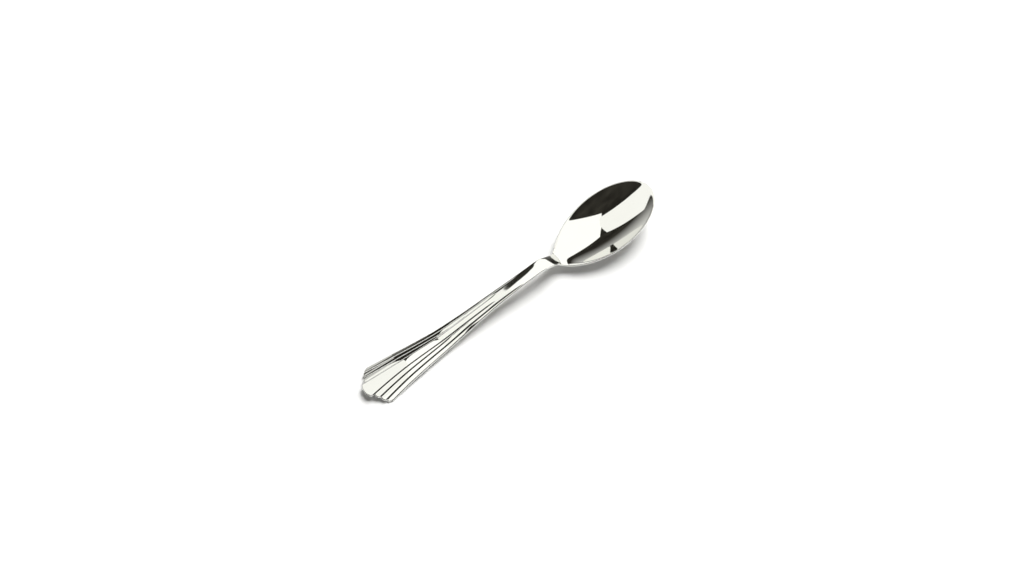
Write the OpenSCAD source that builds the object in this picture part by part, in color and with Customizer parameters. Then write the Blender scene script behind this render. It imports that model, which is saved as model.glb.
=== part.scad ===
// Teaspoon with an egg-shaped bowl and a fluted handle that fans out to a scalloped point.
// X runs from the handle's point to the bowl's tip, Y across, Z up from the table it lies on.
// Lengths are in millimetres and angles in degrees.

/* [Overall] */
// Length from the handle's point to the bowl's tip
overall_length = 155; // [135:1:180]
// Thickness of the rim and of the handle's side edges
edge_thickness = 1.3; // [0.9:0.05:2]
// Rounding of those edges
edge_round = 0.25; // [0.1:0.05:0.4]

/* [Bowl] */
// Width over the rim
bowl_width = 28.4; // [22:0.1:36]
// Length from the widest place to the tip
bowl_nose = 24.1; // [18:0.1:30]
// Length from the widest place back to the heel
bowl_heel = 29; // [24:0.1:36]
// Sharpness of the heel: 0.5 is an ellipse, more is more pointed
heel_taper = 0.69; // [0.5:0.01:0.9]
// Depth of the hollow under the rim at the widest place
bowl_depth = 6.2; // [5:0.1:8]
// Thickness of the floor
bowl_wall = 2.7; // [1.6:0.05:3.2]
// Sharpness of the hollow's floor toward the heel: 1 is a parabola, more is flatter at the heel
floor_taper = 1.3; // [1:0.05:1.5]
// Roundness where the neck's drop runs out into the floor
floor_blend = 1.2; // [0.4:0.05:3]
// Width of the rim round the hollow
rim_width = 0.4; // [0.3:0.05:2]
// Length of the solid heel behind the hollow
heel_land = 2; // [1:0.1:5]
// Upward tilt of the rim toward the tip
rim_tilt = 10.6; // [4:0.1:16]
// Depth of the worn flat that the bowl rests on
rest_flat = 0.15; // [0.1:0.05:0.3]

/* [Neck] */
// Width of the neck at its narrowest
neck_width = 5.9; // [5:0.1:8]
// Thickness in the middle of the neck
neck_thickness = 2.4; // [1.6:0.1:4]
// Rise of the rounded top over its edges
neck_crown = 0.2; // [0.1:0.05:1.5]
// Distance from the tip back to the crest, where the shoulder and the drop would meet
crest_from_tip = 59.4; // [54:0.1:68]
// Height at which the shoulder and the drop would meet
crest_height = 11.1; // [9:0.05:18]
// Slope of the shoulder, which climbs from the knee to the crest
shoulder_angle = 6.7; // [3:0.1:9]
// Distance from the crest back to the knee, where the handle's climb eases
knee_back = 25.7; // [12:0.1:32]
// Steepness of the drop from the crest into the bowl
drop_angle = 33.8; // [20:0.1:45]
// Length of the neck on the handle's side of the crest
neck_back = 13.7; // [6:0.1:18]
// Length by which the neck laps into the bowl's heel
neck_lap = 2.2; // [1:0.1:3]
// Roundness of the shoulders between the neck and the bowl
shoulder_blend = 2.7; // [0.5:0.05:4]
// Roundness of the crest
crest_blend = 1.65; // [0.5:0.05:5]
// Roundness of the knee
knee_blend = 0.25; // [0.1:0.05:1]
// Roundness of the hollow where the drop meets the rim
heel_blend = 1.2; // [0.3:0.05:3]

/* [Handle] */
// Width over the fan's outer corners
end_width = 19.7; // [14:0.1:26]
// Thickness in the middle of the fan
handle_thickness = 1.6; // [1:0.1:3]
// Rise of the fan's rounded top over its edges
end_crown = 3.5; // [0.5:0.05:4]
// Distance from the tip back to where the handle begins to widen
flare_from_tip = 63.9; // [58:0.1:75]
// Slope of the handle's outer half
rest_angle = 1.4; // [0:0.1:4]
// Slope of the handle where it climbs to the knee
rise_angle = 10.5; // [6:0.1:14]
// Roundness of the bend between the two slopes
rise_blend = 0.6; // [0.3:0.05:4]
// Droop of the fan at its outer corners
end_droop = 0.45; // [0:0.05:1]
// Length of the fan over which it droops
droop_reach = 8; // [5:0.5:16]

/* [Flutes] */
// Length from the point back to the fan's outer corners
fan_point = 7.7; // [5:0.1:12]
// Length of the centre panel's round end
panel_point = 3; // [1:0.1:4.5]
// Length of each flute's round end
flute_point = 0.7; // [0.2:0.05:1.2]
// Half width of the centre panel at the fan's outer corners
panel_end_half = 3.1; // [2:0.05:4]
// Half width of the centre panel along the stem
panel_stem_half = 1.35; // [0.8:0.05:1.6]
// Width of the inner flute at the fan's outer corners
inner_flute_width = 2.45; // [1.5:0.05:3.5]
// Width of the middle flute at the fan's outer corners
middle_flute_width = 2.5; // [1.5:0.05:3.5]
// Distance from the centre line to the outer step along the stem
outer_step_stem = 2.5; // [2.2:0.05:2.6]
// Height of the step from the panel to the inner flute and from each flute to the next
step_height = 0.4; // [0.1:0.05:0.5]
// Width over which each step rolls down
step_roll = 0.65; // [0.4:0.05:1.2]
// Distance from the crest back to where the steps beside the panel end
panel_step_stop = 23.7; // [14:0.1:40]
// Distance from the crest back to where the inner flutes come to a point
inner_flute_stop = 46.7; // [35:0.1:60]
// Distance from the crest back to where the steps beyond the inner flutes end
inner_step_stop = 40.1; // [30:0.1:50]
// Distance from the crest back to where the outer steps end
outer_step_stop = 9.7; // [4:0.1:40]
// Length over which a step fades out
step_fade = 9; // [4:1:20]

/* [Hidden] */
silver = [0.82, 0.82, 0.80];

// Places along the length
tip_x = overall_length / 2;
bowl_x = tip_x - bowl_nose;
heel_x = bowl_x - bowl_heel;
crest_x = tip_x - crest_from_tip;
knee_x = crest_x - knee_back;
flare_x = tip_x - flare_from_tip;
neck_front_x = heel_x + neck_lap;
neck_back_x = crest_x - neck_back;
point_x = -tip_x;
corner_x = point_x + fan_point;
panel_corner_x = point_x + panel_point;
step_stops = [panel_step_stop, inner_step_stop, outer_step_stop];

// How quickly the lines of the fan bend from the stem outward
edge_bend = 2;
panel_bend = 4.5;
outer_bend = 2.6;
inner_flute_bend = 0.65;
// Least width that a line of the fan keeps from the next one
line_gap = 0.25;
// Largest share of the panel or a flute that a step's roll may take
roll_share = 0.8;
// Length behind the corners over which the scalloped end dies away
scallop_reach = 14;
// Length past the heel over which the neck's thickness becomes the bowl's
wall_reach = 12;
// Length past the heel over which the neck's rounded top becomes hollow
hollow_reach = 8;
// Least half width of the curve across the hollow, at its very end
least_half = 0.01;

// Numbers of steps in the curved surfaces
handle_steps = 36;
neck_steps = 20;
heel_steps = 18;
nose_steps = 16;
dish_steps = 20;
floor_steps = 80;
// Places across the panel or a flute: its flat and the step that rolls down from it
flat_places = [0, 0.35, 0.7];
roll_places = [0, 0.5, 0.8];
// Angle at which the tip's outline ends in a narrow blunt edge
nose_angle = 88;

// Larger and smaller of two values, rounded where they cross
function soft_max(a, b, blend) = (a + b + sqrt((a - b) ^ 2 + blend ^ 2)) / 2;
function soft_min(a, b, blend) = (a + b - sqrt((a - b) ^ 2 + blend ^ 2)) / 2;
// Larger of two values with a fillet of limited reach where they cross
function fillet_max(a, b, reach) = max(a, b) + max(reach - abs(a - b), 0) ^ 2 / (4 * reach);
function clamp(value) = min(max(value, 0), 1);
function smooth(value) = clamp(value) ^ 2 * (3 - 2 * clamp(value));
function mix(a, b, share) = a + (b - a) * share;
function sum(values) = [for (value = values) 1] * values;

// Half width of an egg outline: an ellipse ahead of the widest place and a sharper curve behind it
function egg_half(x, half, nose, heel) =
    x > bowl_x
    ? half * sqrt(max(1 - ((x - bowl_x) / nose) ^ 2, 0))
    : half * max(1 - ((bowl_x - x) / heel) ^ 2, 0) ^ heel_taper;
function rim_half(x) = egg_half(x, bowl_width / 2, bowl_nose, bowl_heel);
hollow_half_width = bowl_width / 2 - rim_width;
function hollow_half(x) =
    egg_half(x, hollow_half_width, bowl_nose - rim_width, bowl_heel - heel_land);

// 0 at the neck and 1 at the fan's outer corners
function flare(x) = max((flare_x - x) / (flare_x - corner_x), 0);
function stem_half(x) = mix(neck_width, end_width, flare(x) ^ edge_bend) / 2;
function half_width(x) =
    x > bowl_x
    ? rim_half(x)
    : fillet_max(stem_half(x), rim_half(x), min(shoulder_blend, neck_width / 2));

// Depth of the hollow under the rim along the centre line, which is negative behind the hollow
function hollow_depth(x) =
    x > bowl_x
    ? bowl_depth * max(1 - ((x - bowl_x) / (bowl_nose - rim_width)) ^ 2, 0)
    : let (share = 1 - ((bowl_x - x) / (bowl_heel - heel_land)) ^ 2)
      bowl_depth * sign(share) * abs(share) ^ floor_taper;

// Height of the rim at the widest place, which sets the worn flat on the table
floor_drops = [
    for (i = [0 : floor_steps])
        let (x = mix(heel_x, tip_x, i / floor_steps))
        hollow_depth(x) + bowl_wall - tan(rim_tilt) * (x - bowl_x)
];
rim_height = max(floor_drops) - rest_flat;
function rim_line(x) = rim_height + tan(rim_tilt) * (x - bowl_x);

// Side line of the handle and neck, for a handle whose lower slope starts at a given height
function arch_line(x, end_height) =
    let (
        droop = end_droop * max((corner_x + droop_reach - x) / droop_reach, 0) ^ 2,
        rest = end_height + tan(rest_angle) * (x - corner_x) - droop,
        shoulder = crest_height + tan(shoulder_angle) * (x - crest_x),
        knee_height = crest_height - tan(shoulder_angle) * knee_back,
        rise = knee_height + tan(rise_angle) * (x - knee_x),
        drop = crest_height - tan(drop_angle) * (x - crest_x),
        climb = soft_min(soft_max(rest, rise, rise_blend), shoulder, knee_blend)
    )
    soft_min(climb, drop, crest_blend);
// The fan's outer corners lie on the table, so the droop and the blends' small lift are made up for there
end_lift = arch_line(corner_x, edge_thickness) - edge_thickness;
function arch(x) = arch_line(x, edge_thickness - end_lift);

// Height of the side edges and the rim
function edge_height(x) = fillet_max(arch(x), rim_line(x), heel_blend);
// Height of the top's centre line: the crowned arch, filleted into the hollow's floor
function middle_height(x) =
    let (crowned = arch(x) + mix(neck_crown, end_crown, flare(x)))
    x < crest_x
    ? crowned
    : fillet_max(crowned, rim_line(x) - hollow_depth(x), floor_blend);
// Half width of the curve across the top: the whole bar on the neck, the hollow in the bowl
function curve_half(x) =
    max(mix(half_width(x), hollow_half(x), smooth((x - heel_x) / hollow_reach)), least_half);

// Top and underside without the steps
function plain_top(x, y) =
    mix(edge_height(x), middle_height(x), max(1 - (y / curve_half(x)) ^ 2, 0));
function middle_thickness(x) =
    x < crest_x
    ? mix(neck_thickness, handle_thickness, clamp(flare(x)))
    : mix(neck_thickness, bowl_wall, smooth((x - crest_x) / (heel_x + wall_reach - crest_x)));
function underside(x, y) =
    let (
        edge = edge_height(x) - edge_thickness,
        middle = middle_height(x) - middle_thickness(x),
        share = min(abs(y) / half_width(x), 1) ^ 2
    )
    max(mix(middle, edge, share), 0);

// Distances from the centre line of the feet of the three steps
function panel_line(x) = mix(panel_stem_half, panel_end_half, flare(x) ^ panel_bend);
function inner_line(x) =
    let (
        meet_x = crest_x - inner_flute_stop,
        share = max((meet_x - x) / (meet_x - corner_x), 0) ^ inner_flute_bend
    )
    panel_line(x) + max(inner_flute_width * share, line_gap);
function outer_line(x) =
    let (
        end = panel_end_half + inner_flute_width + middle_flute_width,
        free = max(mix(outer_step_stem, end, flare(x) ^ outer_bend), inner_line(x) + line_gap)
    )
    min(free, half_width(x) - edge_round - line_gap / 2);
function strip_edges(x) = [0, panel_line(x), inner_line(x), outer_line(x), half_width(x) - edge_round];
function roll_width(edges, k) = min(step_roll, roll_share * (edges[k + 1] - edges[k]));

// Height that the steps add to the plain top, nothing in the middle and nothing at the edge
function step_rise(x, y) =
    let (edges = strip_edges(x), spread = (y / half_width(x)) ^ 2)
    step_height * sum([
        for (k = [0 : 2])
            let (
                strength = smooth((crest_x - step_stops[k] - x) / step_fade),
                roll = roll_width(edges, k),
                fall = clamp((abs(y) - edges[k + 1] + roll) / roll) ^ 2
            )
            strength * (spread - fall)
    ]);

// Lines along the handle from the centre line to the edge: the head and the foot of each step in turn
function fan_lines(x) =
    let (edges = strip_edges(x))
    concat(
        [0],
        [for (k = [0 : 2]) each [edges[k + 1] - roll_width(edges, k), edges[k + 1]]],
        [edges[4]]
    );
// A column runs along the handle at a place between two of those lines
function column_y(x, place) =
    let (all = fan_lines(x), line = min(floor(place), len(all) - 2))
    mix(all[line], all[line + 1], place - line);
fan_columns = concat(
    [
        for (k = [0 : 2]) each concat(
            [for (place = flat_places) 2 * k + place],
            [for (place = roll_places) 2 * k + 1 + place]
        )
    ],
    [for (place = flat_places) 6 + place],
    [7]
);

// The panel and each flute end in a round tab, and the tabs step back from the point to the corners
function notch_x(k) = mix(panel_corner_x, corner_x, k / 3);
function tab_end(k, share) =
    k == 0
    ? panel_corner_x - panel_point * sqrt(1 - share ^ 2)
    : mix(notch_x(k - 1), notch_x(k), share) - flute_point * 4 * share * (1 - share);
function column_end(place) =
    let (
        y = column_y(corner_x, place),
        edges = strip_edges(corner_x),
        k = min(floor(place / 2), 3)
    )
    tab_end(k, (y - edges[k]) / (edges[k + 1] - edges[k]));
function column_x(x, end) = x + (end - corner_x) * smooth((corner_x + scallop_reach - x) / scallop_reach);

// Plan points of one row across the handle, from the centre line to the edge
function handle_half_row(x) = concat(
    [
        for (place = fan_columns)
            let (own_x = column_x(x, column_end(place)))
            [own_x, column_y(own_x, place)]
    ],
    [[x, half_width(x)]]
);

// Plan points of one row across the bowl, from the centre line to the rim's edge
function bowl_half_row(x) =
    let (
        outer = half_width(x),
        inner = max(min(curve_half(x), outer - 2 * edge_round), outer / 2),
        shoulder = max(outer - edge_round, (inner + outer) / 2)
    )
    concat(
        [for (i = [0 : dish_steps / 2]) [x, inner * 2 * i / dish_steps]],
        [[x, shoulder], [x, outer]]
    );

// Both sides of a half row, from -Y to +Y
function full_row(half_row) = concat(
    [for (i = [len(half_row) - 1 : -1 : 1]) [half_row[i][0], -half_row[i][1]]],
    half_row
);
// Top and underside points over a row of plan points, eased at both side edges
function section(row) =
    let (last = len(row) - 1)
    [
        for (side = [0, 1]) [
            for (i = [0 : last])
                let (
                    x = row[i][0],
                    y = row[i][1],
                    ease = i == 0 || i == last ? edge_round : 0,
                    top = plain_top(x, y) + step_rise(x, y) - ease
                )
                [x, y, side == 0 ? top : underside(x, y) + ease]
        ]
    ];

// Closed solid over a list of sections that run along +X
module skin(sections) {
    across = len(sections[0][0]);
    along = len(sections);
    points = [for (part = sections) each concat(part[0], part[1])];
    function at(i, j, side) = (2 * i + side) * across + j;
    function quad(a, b, c, d) = [[a, b, c], [a, c, d]];
    faces = concat(
        [
            for (i = [0 : along - 2], j = [0 : across - 2]) each concat(
                quad(at(i, j, 0), at(i, j + 1, 0), at(i + 1, j + 1, 0), at(i + 1, j, 0)),
                quad(at(i + 1, j, 1), at(i + 1, j + 1, 1), at(i, j + 1, 1), at(i, j, 1))
            )
        ],
        [
            for (i = [0 : along - 2], j = [0, across - 1])
                let (a = j == 0 ? i : i + 1, b = j == 0 ? i + 1 : i)
                each quad(at(a, j, 0), at(b, j, 0), at(b, j, 1), at(a, j, 1))
        ],
        [
            for (j = [0 : across - 2], i = [0, along - 1])
                let (a = i == 0 ? j + 1 : j, b = i == 0 ? j : j + 1)
                each quad(at(i, a, 0), at(i, b, 0), at(i, b, 1), at(i, a, 1))
        ]
    );
    polyhedron(points, faces);
}

// Dish with its rim, from the flat face at the heel to the tip
module bowl() {
    heel_places = [for (i = [0 : heel_steps]) mix(neck_front_x, bowl_x, i / heel_steps)];
    nose_places = [
        for (i = [1 : nose_steps])
            bowl_x + bowl_nose * sin(nose_angle * i / nose_steps)
    ];
    color(silver) skin([for (x = concat(heel_places, nose_places)) section(full_row(bowl_half_row(x)))]);
}

// Plain arched stem between the handle and the bowl's heel
module neck() {
    places = [for (i = [0 : neck_steps]) mix(neck_back_x, neck_front_x, i / neck_steps)];
    color(silver) skin([for (x = places) section(full_row(handle_half_row(x)))]);
}

// Fluted stem that widens to the scalloped fan
module handle() {
    places = [for (i = [0 : handle_steps]) mix(corner_x, neck_back_x, i / handle_steps)];
    color(silver) skin([for (x = places) section(full_row(handle_half_row(x)))]);
}

bowl();
neck();
handle();
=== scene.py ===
"""Teaspoon: one bright bar of metal with an egg-shaped bowl and a fluted handle that fans out.

X runs from the handle's point to the bowl's tip, Y across and Z up from the table it lies on.
Shapes are worked out in millimetres and put into the scene in metres.
"""
import math

import bpy
import numpy as np
from mathutils import Matrix, Vector


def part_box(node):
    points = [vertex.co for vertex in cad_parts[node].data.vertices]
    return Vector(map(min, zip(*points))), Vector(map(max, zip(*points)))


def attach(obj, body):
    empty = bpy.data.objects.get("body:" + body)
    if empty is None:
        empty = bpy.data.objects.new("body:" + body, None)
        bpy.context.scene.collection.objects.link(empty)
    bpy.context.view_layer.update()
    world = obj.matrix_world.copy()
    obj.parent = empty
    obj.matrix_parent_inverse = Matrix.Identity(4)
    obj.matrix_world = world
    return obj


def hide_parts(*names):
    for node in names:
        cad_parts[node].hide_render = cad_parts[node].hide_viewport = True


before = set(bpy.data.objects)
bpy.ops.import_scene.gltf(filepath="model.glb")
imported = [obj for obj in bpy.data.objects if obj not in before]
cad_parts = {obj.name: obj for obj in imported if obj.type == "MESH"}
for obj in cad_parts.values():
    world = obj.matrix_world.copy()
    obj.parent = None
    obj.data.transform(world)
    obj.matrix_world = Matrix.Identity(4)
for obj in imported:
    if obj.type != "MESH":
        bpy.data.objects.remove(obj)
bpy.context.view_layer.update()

# Handle: the stem that fans out to a scalloped point, pressed from the same bar of metal as the rest.
# Its top is crowned. The centre panel rolls down a low step to the first of three flutes on each side.
# The flutes roll down likewise, all end in round tabs, and every edge is rounded over.
MM = 0.001
handle_low, handle_high = np.array(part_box("handle")) / MM
point_x = handle_low[0]
fan_half = handle_high[1]
corner_x = point_x + 7.7
droop_reach = 8.0
end_droop = 0.45
rest_angle = 1.4
rise_angle = 10.5
rise_blend = 0.6
knee_x = -7.6
knee_blend = 0.25
shoulder_angle = 6.7
crest_x = 18.1
crest_height = 11.1
crest_blend = 1.65
drop_angle = 33.8
flare_x = 13.6
neck_half = 2.95
neck_crown = 0.2
end_crown = 3.5
crown_blend = 0.02
edge_thickness = 1.3
edge_round = 0.4
edge_points = 9
neck_thickness = 2.4
handle_thickness = 1.6


def mix(a, b, share):
    """Straight blend from a to b."""
    return a + (b - a) * share


def smooth(value):
    """Eased step from 0 to 1 while the value goes from 0 to 1."""
    held = np.clip(value, 0, 1)
    return held * held * (3 - 2 * held)


def soft_max(a, b, blend):
    """Larger of two values, rounded by a hyperbola where they cross."""
    return (a + b + np.sqrt((a - b) ** 2 + blend ** 2)) / 2


def soft_min(a, b, blend):
    """Smaller of two values, rounded by a hyperbola where they cross."""
    return -soft_max(-a, -b, blend)


def climb_of(degrees, run):
    """Height that a straight slope gains over a run."""
    return math.tan(math.radians(degrees)) * run


def arch_line(x, end_height):
    """Side line of the handle and neck, whose lower slope starts at a given height.

    A drooping end and a flat slope, a climb, an easier climb past the knee and a drop, all blended.
    """
    droop = end_droop * np.maximum((corner_x + droop_reach - x) / droop_reach, 0) ** 2
    rest = end_height + climb_of(rest_angle, x - corner_x) - droop
    shoulder = crest_height + climb_of(shoulder_angle, x - crest_x)
    rise = crest_height + climb_of(shoulder_angle, knee_x - crest_x) + climb_of(rise_angle, x - knee_x)
    drop = crest_height - climb_of(drop_angle, x - crest_x)
    back = soft_min(soft_max(rest, rise, rise_blend), shoulder, knee_blend)
    return soft_min(back, drop, crest_blend)


end_lift = arch_line(corner_x, edge_thickness) - edge_thickness


def arch(x):
    """Side line whose end is set so that the fan's outer corners lie on the table."""
    return arch_line(x, edge_thickness - end_lift)


def flare(x):
    """0 at the neck and 1 at the fan's outer corners, growing evenly."""
    return np.maximum((flare_x - x) / (flare_x - corner_x), 0)


def stem_half(x):
    """Half width of the stem, which grows with the square of the flare."""
    return mix(neck_half, fan_half, flare(x) ** 2)


def crowned(x):
    """Height of the top's centre line, which stands over the side line by more toward the fan.

    The extra height grows evenly with the distance from the neck, with a soft start.
    """
    even = (flare_x - x) / (flare_x - corner_x)
    return arch(x) + mix(neck_crown, end_crown, soft_max(even, 0, crown_blend))


panel_stem_half = 1.35
panel_end_half = 3.1
panel_bend = 4.5
flute_width = 2.45
flute_meet_x = -28.6
flute_bend = 0.65
outer_stem = 2.5
outer_end = 8.05
outer_bend = 2.6
line_gap = 0.25
step_height = 0.4
step_roll = 0.65
roll_share = 0.8
step_fade = 9.0
step_stops = [-5.6, -22.0, 8.4]


def step_feet(x):
    """Distances from the centre line of the feet of the three steps and of the edge's shoulder.

    Each grows from the stem to the fan with a power of the flare. The inner flute closes to a point.
    """
    panel = mix(panel_stem_half, panel_end_half, flare(x) ** panel_bend)
    opening = np.maximum((flute_meet_x - x) / (flute_meet_x - corner_x), 0) ** flute_bend
    inner = panel + np.maximum(flute_width * opening, line_gap)
    outer = np.maximum(mix(outer_stem, outer_end, flare(x) ** outer_bend), inner + line_gap)
    shoulder = stem_half(x) - edge_round
    return np.stack([panel, inner, np.minimum(outer, shoulder - line_gap / 2), shoulder])


def step_rolls(feet):
    """Widths over which the three steps roll down, each at most a share of the panel or flute it ends."""
    widths = np.diff(feet[:3], axis=0, prepend=0)
    return np.minimum(step_roll, roll_share * widths)


def fan_lines(x):
    """Distances from the centre line of the lines along the fan.

    They are the middle, the head and foot of each step, and the edge's shoulder.
    """
    feet = step_feet(x)
    heads = feet[:3] - step_rolls(feet)
    steps = np.stack([heads, feet[:3]], axis=1).reshape(6, *feet.shape[1:])
    return np.concatenate([np.zeros_like(feet[:1]), steps, feet[3:]])


def flute_height(x, y):
    """Height that the steps add to the plain crown, nothing in the middle and nothing at the edge.

    Each step falls by a parabola from its head to its foot, and fades out toward the neck.
    """
    feet = step_feet(x)
    spread = (y / stem_half(x)) ** 2
    rise = np.zeros_like(spread)
    for foot, roll, stop in zip(feet, step_rolls(feet), step_stops):
        fall = np.clip((y - foot + roll) / roll, 0, 1) ** 2
        rise = rise + smooth((stop - x) / step_fade) * (spread - fall)
    return step_height * rise


def handle_top(x, y):
    """Top of the handle: a parabola from the centre line down to the side line, with the steps."""
    return mix(crowned(x), arch(x), (y / stem_half(x)) ** 2) + flute_height(x, y)


def handle_underside(x, y):
    """Underside of the handle: a parabola across that leaves the middle and the edges their thickness."""
    thickness = mix(neck_thickness, handle_thickness, np.minimum(flare(x), 1))
    return mix(crowned(x) - thickness, arch(x) - edge_thickness, (y / stem_half(x)) ** 2)


def along_lines(lines, columns):
    """Distance from the centre line at each column.

    A column's whole part picks a line, and the rest is the share of the way to the next one.
    """
    low = np.minimum(columns.astype(int), len(lines) - 2)
    row, column = np.indices(lines.shape[1:])
    start = lines[low[column], row, column]
    end = lines[low[column] + 1, row, column]
    return mix(start, end, (columns - low)[column])


def half_section(x, y, outline, top, underside, eased=0.0):
    """Half outline across the bar, from the middle of the top round the edge to the middle below.

    Each row follows the top at its own x and y, turns down in two quarter ellipses whose first tangent is
    that of the surface, and returns under the same places. Eased is taken off both faces at a rounded end.
    """
    tiny = 0.01
    high = top(x, y) - eased
    low = np.maximum(underside(x, y), 0) + eased
    shoulder_x = x[:, -1:]
    shoulder_y = y[:, -1:]
    top_fall = (top(shoulder_x, shoulder_y - tiny) - top(shoulder_x, shoulder_y)) / tiny
    under_rise = (underside(shoulder_x, shoulder_y) - underside(shoulder_x, shoulder_y - tiny)) / tiny
    angle = np.linspace(0, math.pi / 2, edge_points)[1:]
    out = (outline(shoulder_x) - shoulder_y) * np.sin(angle)
    tall = np.minimum(edge_round, edge_thickness / 2 - eased) * (1 - np.cos(angle))
    edge_y = shoulder_y + out
    edge_high = high[:, -1:] - top_fall * out - tall
    edge_low = np.maximum(low[:, -1:] + under_rise * out + tall, 0)
    edge_x = np.broadcast_to(shoulder_x, edge_y.shape)
    return np.stack(
        [
            np.hstack([x, edge_x, edge_x[:, ::-1], x[:, ::-1]]),
            np.hstack([y, edge_y, edge_y[:, ::-1], y[:, ::-1]]),
            np.hstack([high, edge_high, edge_low[:, ::-1], low[:, ::-1]]),
        ],
        axis=-1,
    )


def whole_section(half):
    """Closed ring from a half outline and its mirror image in Y."""
    return np.concatenate([half, half[:, -2:0:-1] * [1, -1, 1]], axis=1)


def unit(vectors):
    """Vectors brought to length 1."""
    return vectors / np.maximum(np.linalg.norm(vectors, axis=-1, keepdims=True), 1e-12)


def ring_normals(rings):
    """Outward normals of a grid of rings: the cross product of its central differences."""
    around = np.roll(rings, -1, axis=1) - np.roll(rings, 1, axis=1)
    return unit(np.cross(np.gradient(rings, axis=0), around))


def ring_faces(rows, around):
    """Quads between neighbouring rings of vertices that are numbered ring by ring."""
    row, place = np.meshgrid(np.arange(rows - 1), np.arange(around), indexing="ij")
    here = row * around + place
    beside = row * around + (place + 1) % around
    return np.stack([here, here + around, beside + around, beside], axis=-1).reshape(-1, 4)


def cap_faces(first, around, forward):
    """Quads that close a ring by joining each upper vertex to the one below it."""
    half = around // 2 + 1
    upper = np.arange(1 - half // 2, half // 2)
    lower = np.where(upper < 0, half - 1 + np.abs(upper), half - 1 - upper)
    upper = upper % around
    quads = first + np.stack([upper[:-1], upper[1:], lower[1:], lower[:-1]], axis=-1)
    return quads if forward else quads[:, ::-1]


def add_piece(node, points, normals, faces, caps):
    """Puts in the piece that stands for a node: smooth faces with given normals, and flat end caps."""
    mesh = bpy.data.meshes.new("silver_" + node)
    mesh.from_pydata((points * MM).tolist(), [], faces + caps)
    mesh.polygons.foreach_set("use_smooth", np.arange(len(faces + caps)) < len(faces))
    corners = np.concatenate([normals[np.concatenate(faces)], np.zeros((4 * len(caps), 3))])
    mesh.normals_split_custom_set(corners.tolist())
    piece = bpy.data.objects.new(mesh.name, mesh)
    bpy.context.collection.objects.link(piece)
    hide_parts(node)
    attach(piece, "root")
    return piece


def add_bar(node, rings):
    """Puts in a bar whose first and last rings only guide the normals."""
    rows = rings.shape[0] - 2
    around = rings.shape[1]
    normals = ring_normals(rings)[1:-1].reshape(-1, 3)
    caps = cap_faces(0, around, True).tolist() + cap_faces((rows - 1) * around, around, False).tolist()
    return add_piece(node, rings[1:-1].reshape(-1, 3), normals, ring_faces(rows, around).tolist(), caps)


def with_ghosts(rows):
    """Rows with one more at each end, carried on in a straight line."""
    return np.concatenate([2 * rows[:1] - rows[1:2], rows, 2 * rows[-1:] - rows[-2:-1]])


# The grid's columns across the fan: whole numbers stand on the lines that fan_lines gives.
panel_points = 14
roll_points = 9
flute_points = 13
step_heads = (1, 3, 5)
flutes = len(step_heads)
shoulder_column = 7.0
panel_spacing = np.sin(np.linspace(0, math.pi / 2, panel_points))[:-1]
roll_spacing = np.linspace(0, 1, roll_points)[:-1]
flute_spacing = 1 + (1 - np.cos(np.linspace(0, math.pi, flute_points)))[:-1] / 2
step_columns = np.concatenate([roll_spacing, flute_spacing])
flute_columns = [head + step_columns for head in step_heads]
fan_columns = np.concatenate([panel_spacing, *flute_columns, [shoulder_column]])

# The end of each column: half an ellipse on the panel's tab, a parabola on each flute's.
panel_point = 3.0
panel_corner_x = point_x + panel_point
flute_point = 0.7
scallop_reach = 14.0
corner_lines = fan_lines(np.array(corner_x))
corner_y = np.interp(fan_columns, np.arange(len(corner_lines)), corner_lines)
middle_feet_and_shoulder = [0, 2, 4, 6, 7]
tab_edges = corner_lines[middle_feet_and_shoulder]
tab_place = np.interp(corner_y, tab_edges, np.arange(len(tab_edges)))
tab = np.minimum(tab_place.astype(int), flutes)
tab_share = tab_place - tab
tab_line = mix(panel_corner_x, corner_x, (tab_place - 1) / flutes)
tab_end = tab_line - flute_point * 4 * tab_share * (1 - tab_share)
panel_end = panel_corner_x - panel_point * np.sqrt(1 - np.minimum(tab_place, 1) ** 2)
column_end = np.where(tab == 0, panel_end, tab_end)

handle_rows = 190
end_angle = np.linspace(0, math.pi / 2, edge_points)[:-1, None]
end_in = edge_round * (1 - np.cos(end_angle))
end_ease = edge_round * (1 - np.sin(end_angle))
rows_x = with_ghosts(np.linspace(corner_x + edge_round, handle_high[0], handle_rows)[:, None])[1:]
shift = (column_end - corner_x) * smooth((corner_x + edge_round + scallop_reach - rows_x) / scallop_reach)
handle_x = np.concatenate([column_end + end_in, rows_x + shift])
handle_ease = np.concatenate([end_ease, np.zeros_like(rows_x)])
handle_y = along_lines(fan_lines(handle_x), fan_columns)
handle_half = half_section(handle_x, handle_y, stem_half, handle_top, handle_underside, handle_ease)
handle_rings = whole_section(handle_half)
handle = add_bar("handle", np.concatenate([2 * handle_rings[:1] - handle_rings[1:2], handle_rings]))

# Neck: the plain arched stem between the handle and the bowl, crowned on top.
# It carries on the handle's outer steps for a little way and drops into the bowl's heel.
neck_low, neck_high = np.array(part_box("neck")) / MM
bowl_high = np.array(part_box("bowl"))[1] / MM
bowl_half = bowl_high[1]
bowl_nose = 24.1
bowl_heel = 29.0
heel_taper = 0.69
heel_blend = 1.2
heel_land = 2.0
shoulder_blend = 2.7
bowl_x = bowl_high[0] - bowl_nose
heel_x = bowl_x - bowl_heel
rim_tilt = 10.6
rim_width = 0.4
rim_round = 0.03
bowl_depth = 6.2
bowl_wall = 2.7
floor_taper = 1.3
floor_blend = 1.2
hollow_reach = 8.0
wall_reach = 12.0
hollow_half_width = bowl_half - rim_width
hollow_heel = bowl_heel - heel_land


def fillet_max(a, b, reach):
    """Larger of two values, with a parabola of limited reach where they cross."""
    return np.maximum(a, b) + np.maximum(reach - np.abs(a - b), 0) ** 2 / (4 * reach)


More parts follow.
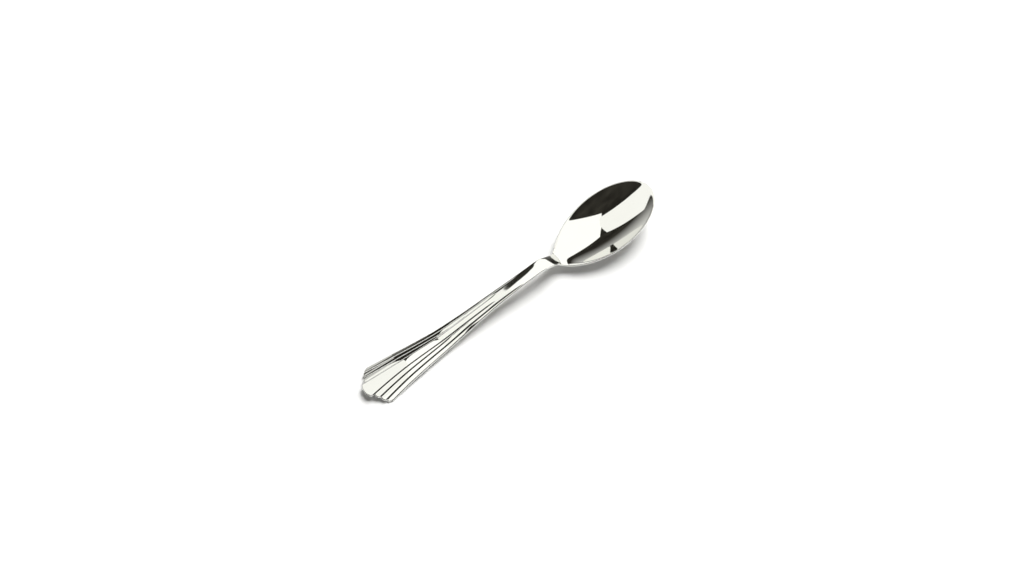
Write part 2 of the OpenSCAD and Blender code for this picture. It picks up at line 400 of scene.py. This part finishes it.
def egg_half(x, half, heel):
    """Half width of an egg behind its widest place: a parabola along it, raised to the heel's taper."""
    return half * np.maximum(1 - ((bowl_x - x) / heel) ** 2, 0) ** heel_taper


def half_width(x):
    """Half width of the bar: the stem, filleted into the bowl's egg."""
    return fillet_max(stem_half(x), egg_half(x, bowl_half, bowl_heel), shoulder_blend)


def rim_line(x):
    """Height of the rim, which climbs evenly toward the tip."""
    return bowl_high[2] + climb_of(rim_tilt, x - bowl_high[0])


def edge_height(x):
    """Height of the side edges: the arch, filleted into the rim at the heel."""
    return fillet_max(arch(x), rim_line(x), heel_blend)


def middle_height(x):
    """Height of the top's centre line: the crowned arch, filleted into the floor of the hollow.

    The floor lies under the rim by a parabola along the hollow, raised to the floor's taper.
    """
    share = 1 - ((bowl_x - x) / hollow_heel) ** 2
    floor = rim_line(x) - bowl_depth * np.sign(share) * np.abs(share) ** floor_taper
    return np.where(x > crest_x, fillet_max(crowned(x), floor, floor_blend), crowned(x))


def hollow_share(x):
    """0 along the neck and 1 in the bowl, eased over the heel."""
    return smooth((x - heel_x) / hollow_reach)


def curve_half(x):
    """Half width of the curve across the top: the whole bar on the neck, the hollow's egg in the bowl."""
    return mix(half_width(x), egg_half(x, hollow_half_width, hollow_heel), hollow_share(x))


def plain_top(x, y):
    """Top of the neck and bowl: a parabola across, with a rounded edge round the hollow."""
    share = soft_max(1 - (y / curve_half(x)) ** 2, 0, rim_round * hollow_share(x))
    return mix(edge_height(x), middle_height(x), share)


def neck_top(x, y):
    """Top of the neck with the last of the handle's steps."""
    return plain_top(x, y) + flute_height(x, y)


def plain_underside(x, y):
    """Underside of the neck and bowl: a parabola across that leaves middle and edges their thickness."""
    neck_side = mix(neck_thickness, handle_thickness, np.minimum(flare(x), 1))
    bowl_side = mix(neck_thickness, bowl_wall, smooth((x - crest_x) / (heel_x + wall_reach - crest_x)))
    middle = middle_height(x) - np.where(x < crest_x, neck_side, bowl_side)
    return mix(middle, edge_height(x) - edge_thickness, (y / half_width(x)) ** 2)


neck_rows = 80
neck_rows_x = np.linspace(neck_low[0], neck_high[0], neck_rows)[:, None]
neck_x = with_ghosts(neck_rows_x) + np.zeros_like(fan_columns)
neck_y = along_lines(fan_lines(neck_x), fan_columns)
neck_y = neck_y * (half_width(neck_x) - edge_round) / neck_y[:, -1:]
neck = add_bar("neck", whole_section(half_section(neck_x, neck_y, half_width, neck_top, plain_underside)))

# Bowl: the egg-shaped dish with a narrow rounded rim, drawn out of the same bar.
# Behind its widest place it is built row by row, and ahead of it one half section sweeps round the nose.
hollow_points = 57
rim_points = 9
heel_rows = 121
nose_turns = 181
least_rim = 0.05
hollow_nose = bowl_nose - rim_width
hollow_columns = np.sin(np.linspace(0, math.pi / 2, hollow_points))
rim_columns = np.linspace(1, 2, rim_points)[1:]
bowl_columns = np.concatenate([hollow_columns, rim_columns])
heel_rows_x = np.linspace(neck_high[0], bowl_x, heel_rows)[:, None]
back_x = with_ghosts(heel_rows_x) + np.zeros_like(bowl_columns)
back_shoulder = half_width(back_x) - edge_round
back_hollow = np.minimum(curve_half(back_x), back_shoulder - least_rim)
back_y = along_lines(np.stack([np.zeros_like(back_x), back_hollow, back_shoulder]), bowl_columns)
heel_half = half_section(back_x, back_y, half_width, plain_top, plain_underside)
heel_rings = whole_section(heel_half)
heel_normals = ring_normals(heel_rings)[1:-1]
heel_rings = heel_rings[1:-1]
rows = heel_rings.shape[0]
around = heel_rings.shape[1]

# The nose: each point of the widest half section runs on half an ellipse to its mirror image.
widest = heel_half[-2]
count = len(widest)
column = np.arange(count)
hollow_reach_x = widest[:, 1] * hollow_nose / hollow_half_width
rim_reach_x = bowl_nose - bowl_half + widest[:, 1]
under_reach_x = widest[:, 1] * (bowl_nose - edge_round) / (bowl_half - edge_round)
nose_reach = np.where(column < len(hollow_columns), hollow_reach_x, rim_reach_x)
nose_reach = np.where(column >= count - len(bowl_columns), under_reach_x, nose_reach)
turn = np.linspace(0, math.pi, nose_turns)[:, None]
nose_x = bowl_x + nose_reach * np.sin(turn)
nose_y = widest[:, 1] * np.cos(turn)
nose_z = np.maximum(widest[:, 2] + climb_of(rim_tilt, nose_x - bowl_x), 0)
nose_grid = np.stack([nose_x, nose_y, nose_z], axis=-1)
nose_normals = unit(np.cross(np.gradient(nose_grid, axis=0), np.gradient(nose_grid, axis=1)))

# The nose shares its first and last section and its middle lines with the last ring behind it.
last_ring = (rows - 1) * around
inner_turns = len(turn) - 2
index = rows * around + np.arange(inner_turns * (count - 2)).reshape(inner_turns, count - 2)
index = np.pad(index, 1)
index[0] = last_ring + column
index[-1] = last_ring + (around - column) % around
index[:, 0] = last_ring
index[:, -1] = last_ring + count - 1
quads = np.stack([index[:-1, 1:-2], index[1:, 1:-2], index[1:, 2:-1], index[:-1, 2:-1]], axis=-1)
top_fan = np.stack([index[:-1, 0], index[1:, 1], index[:-1, 1]], axis=-1)
under_fan = np.stack([index[:-1, -2], index[1:, -2], index[1:, -1]], axis=-1)
bowl_points = np.concatenate([heel_rings.reshape(-1, 3), nose_grid[1:-1, 1:-1].reshape(-1, 3)])
bowl_normals = np.concatenate([heel_normals.reshape(-1, 3), nose_normals[1:-1, 1:-1].reshape(-1, 3)])
bowl_faces = ring_faces(rows, around).tolist() + quads.reshape(-1, 4).tolist()
bowl_faces = bowl_faces + top_fan.tolist() + under_fan.tolist()
bowl = add_piece("bowl", bowl_points, bowl_normals, bowl_faces, cap_faces(0, around, True).tolist())


# Finish: all three pieces have the same bright silver finish, polished along the length of the spoon.
# Fine polishing marks and a faint haze vary its gloss, and the metal is very slightly wavy.
class Wire:
    """A socket of a node tree that takes part in arithmetic, where each operator adds a Math node."""

    def __init__(self, tree, socket=None):
        self.tree = tree
        self.socket = socket

    def node(self, kind, settings=None, inputs=None, output=0):
        """Adds a node, sets its settings, fills its sockets with values or links and returns one output."""
        made = self.tree.nodes.new(kind)
        for name, value in (settings or {}).items():
            setattr(made, name, value)
        for key, value in (inputs or {}).items():
            if isinstance(value, Wire):
                self.tree.links.new(value.socket, made.inputs[key])
            else:
                made.inputs[key].default_value = value
        return Wire(self.tree, made.outputs[output] if made.outputs else None)

    def maths(self, operation, *values):
        """Adds a Math node on the given values."""
        return self.node("ShaderNodeMath", {"operation": operation}, dict(enumerate(values)))

    def __add__(self, other):
        return self.maths("ADD", self, other)

    def __radd__(self, other):
        return self.maths("ADD", other, self)

    def __sub__(self, other):
        return self.maths("SUBTRACT", self, other)

    def __rsub__(self, other):
        return self.maths("SUBTRACT", other, self)

    def __mul__(self, other):
        return self.maths("MULTIPLY", self, other)

    def __rmul__(self, other):
        return self.maths("MULTIPLY", other, self)


def new_tree(owner):
    """Empties the node tree of a material or world and returns it as a wire."""
    owner.use_nodes = True
    owner.node_tree.nodes.clear()
    return Wire(owner.node_tree)


marks_scale = (60.0, 1500.0, 1500.0)
haze_scale = 90.0
clean_roughness = 0.03
marked_roughness = 0.05
wave_strength = 0.02
silver = bpy.data.materials.new("bright_silver")
paint = new_tree(silver)
place = paint.node("ShaderNodeTexCoord", output="Object")
marks_place = paint.node("ShaderNodeVectorMath", {"operation": "MULTIPLY"}, {0: place, 1: marks_scale})
marks = paint.node("ShaderNodeTexNoise", {}, {"Vector": marks_place, "Scale": 1.0, "Detail": 3.0})
haze = paint.node("ShaderNodeTexNoise", {}, {"Vector": place, "Scale": haze_scale, "Detail": 2.0})
tone = paint.node(
    "ShaderNodeMix",
    {"data_type": "RGBA"},
    {0: haze, 6: (0.79, 0.79, 0.765, 1.0), 7: (0.82, 0.82, 0.8, 1.0)},
    output=2,
)
waves = paint.node("ShaderNodeBump", {}, {"Height": haze, "Strength": wave_strength, "Distance": MM})
roughness = clean_roughness + marked_roughness * marks * haze
metal = paint.node(
    "ShaderNodeBsdfPrincipled",
    {},
    {"Base Color": tone, "Metallic": 1.0, "Roughness": roughness, "Normal": waves},
)
paint.node("ShaderNodeOutputMaterial", {}, {"Surface": metal})
for piece in (handle, neck, bowl):
    piece.data.materials.append(silver)


# Table: a white sheet that the spoon lies on, far larger than the picture.
# It takes the spoon's shadow, and a little light of its own brings the open sheet up to white.
def add_stage(name, corners, material):
    """Puts in one flat face of the studio, which isn't part of the spoon."""
    mesh = bpy.data.meshes.new(name)
    mesh.from_pydata(corners, [], [list(range(len(corners)))])
    mesh.materials.append(material)
    face = bpy.data.objects.new(name, mesh)
    bpy.context.collection.objects.link(face)
    return face


sheet_glow = 0.08
paper = bpy.data.materials.new("white_sheet")
paint = new_tree(paper)
seen = paint.node("ShaderNodeLightPath", output="Is Camera Ray")
seen = seen + paint.node("ShaderNodeLightPath", output="Is Glossy Ray")
seen = seen + paint.node("ShaderNodeLightPath", output="Is Transmission Ray")
matt = paint.node("ShaderNodeBsdfDiffuse", {}, {"Color": (0.85, 0.85, 0.84, 1.0)})
glow = paint.node("ShaderNodeEmission", {}, {"Color": (1.0, 1.0, 0.99, 1.0), "Strength": sheet_glow * seen})
surface = paint.node("ShaderNodeAddShader", {}, {0: matt, 1: glow})
paint.node("ShaderNodeOutputMaterial", {}, {"Surface": surface})
sheet_half = 5.0
sheet_z = -0.02 * MM
sheet_corners = [
    (-sheet_half, -sheet_half, sheet_z),
    (sheet_half, -sheet_half, sheet_z),
    (sheet_half, sheet_half, sheet_z),
    (-sheet_half, sheet_half, sheet_z),
]
add_stage("sheet", sheet_corners, paper)

# Light tent: two sloping white cloths that meet at a ridge over the bowl and glow evenly.
# Only the polished metal sees them: they are the white of its bowl, its neck and its centre panel.
cloth_white = (1.0, 1.0, 0.955, 1.0)
ridge_turn = math.radians(78.0)
ridge_way = Vector((math.cos(ridge_turn), math.sin(ridge_turn), 0.0))
right_way = Vector((math.sin(ridge_turn), -math.cos(ridge_turn), 0.0))
ridge_place = Vector((0.0603, 0.0138, 0.0))
right_top = 1.0125
right_fall = 1.256
right_strength = 1.29
right_outline = [(0.615, 0.054), (0.004, -0.036), (-0.459, -0.036), (-0.526, 0.692), (0.556, 0.692)]
left_top = 0.598
left_fall = 1.417
left_strength = 1.15
left_outline = [(0.329, 0.057), (0.019, -0.002), (-0.191, -0.002), (-0.037, 0.264), (0.355, 0.264)]


def mirrored_face(name, corners, strength):
    """Puts in a glowing face that only the metal sees."""
    glowing = bpy.data.materials.new(name)
    tree = new_tree(glowing)
    light = tree.node("ShaderNodeEmission", {}, {"Color": cloth_white, "Strength": strength})
    tree.node("ShaderNodeOutputMaterial", {}, {"Surface": light})
    face = add_stage(name, corners, glowing)
    face.visible_camera = False
    face.visible_diffuse = False
    face.visible_shadow = False


def cloth(name, outline, way, top, fall, strength):
    """Puts in one cloth from its outline along the ridge and out from it, sloping down to one side."""
    ridge = ridge_place + Vector((0.0, 0.0, top))
    down = way - Vector((0.0, 0.0, fall))
    mirrored_face(name, [ridge + ridge_way * along + down * out for along, out in outline], strength)


cloth("right_cloth", right_outline, right_way, right_top, right_fall, right_strength)
cloth("left_cloth", left_outline, -right_way, left_top, left_fall, left_strength)

# Side screen: three level white slats that stand beyond the handle, seen by the metal only.
# They are the light of the fan's far flutes, and the gaps between them are the dark lines.
screen_left = -0.12
screen_right = -0.038
screen_y = 0.1
slat_strength = 0.68
slat_heights = [(0.034, 0.044), (0.062, 0.072), (0.09, 0.107)]
for low, high in slat_heights:
    slat_corners = [
        (screen_left, screen_y, low),
        (screen_right, screen_y, low),
        (screen_right, screen_y, high),
        (screen_left, screen_y, high),
    ]
    mirrored_face("side_slat", slat_corners, slat_strength)

# Key lamp: one large soft lamp that shines from the bowl's end, high up and a little from behind.
# It lights the sheet and throws the spoon's shadow, and the metal doesn't mirror it.
key_turn = math.radians(20.0)
key_climb = math.radians(58.0)
key_way = Vector(
    (
        math.cos(key_turn) * math.cos(key_climb),
        math.sin(key_turn) * math.cos(key_climb),
        math.sin(key_climb),
    )
)
key_data = bpy.data.lights.new("key", "SUN")
key_data.energy = 4.15
key_data.angle = math.radians(38.0)
key = bpy.data.objects.new("key", key_data)
key.rotation_euler = key_way.to_track_quat("Z", "Y").to_euler()
key.visible_glossy = False
bpy.context.collection.objects.link(key)

# Room: dark and a little brown, with a grey wall beyond the table that is lightest at its foot.
# The metal mirrors them between and below the cloths.
room_dark = 0.06
wall_grey = 0.7
wall_side = 0.3
wall_full = 0.8
wall_top = math.sin(math.radians(30.0))
room = bpy.data.worlds.new("dark_room")
bpy.context.scene.world = room
sky = new_tree(room)
direction = sky.node("ShaderNodeTexCoord", output="Generated")
behind = sky.node("ShaderNodeSeparateXYZ", {}, {"Vector": direction}, "Y")
height = sky.node("ShaderNodeSeparateXYZ", {}, {"Vector": direction}, "Z")
below_top = sky.maths("MAXIMUM", 1.0 - height * (1 / wall_top), 0.0)
in_back = sky.node(
    "ShaderNodeMapRange",
    {"interpolation_type": "SMOOTHSTEP"},
    {"Value": behind, "From Min": wall_side, "From Max": wall_full},
)
wall_light = wall_grey * below_top * in_back
wall = sky.node("ShaderNodeBackground", {}, {"Color": (1.0, 1.0, 0.96, 1.0), "Strength": wall_light})
clutter = sky.node("ShaderNodeTexNoise", {}, {"Vector": direction, "Scale": 5.0, "Detail": 2.0})
dark_light = room_dark * clutter
dark = sky.node("ShaderNodeBackground", {}, {"Color": (1.0, 0.93, 0.75, 1.0), "Strength": dark_light})
around_room = sky.node("ShaderNodeAddShader", {}, {0: wall, 1: dark})
sky.node("ShaderNodeOutputWorld", {}, {"Surface": around_room})

# Camera: a long lens that looks down on the spoon over its near side, as in the photograph.
# It is aimed at a place halfway along the spoon, which is the middle of the picture.
azimuth = math.radians(37.18)
elevation = math.radians(63.24)
distance = 1.1
pixels_per_metre = 2314.2
picture_width = 1024
aim = Vector((1.16, -0.32, 7.8)) * MM
away = Vector((math.sin(azimuth), math.cos(azimuth), 0.0))
right = Vector((math.cos(azimuth), -math.sin(azimuth), 0.0))
look = away * math.cos(elevation) - Vector((0.0, 0.0, math.sin(elevation)))
upward = right.cross(look)
camera_data = bpy.data.cameras.new("camera")
camera_data.lens = camera_data.sensor_width * pixels_per_metre * distance / picture_width
camera = bpy.data.objects.new("camera", camera_data)
turned = Matrix((right, upward, -look)).transposed().to_4x4()
camera.matrix_world = Matrix.Translation(aim - look * distance) @ turned
bpy.context.collection.objects.link(camera)
bpy.context.scene.camera = camera
bpy.context.scene.view_settings.view_transform = "Standard"
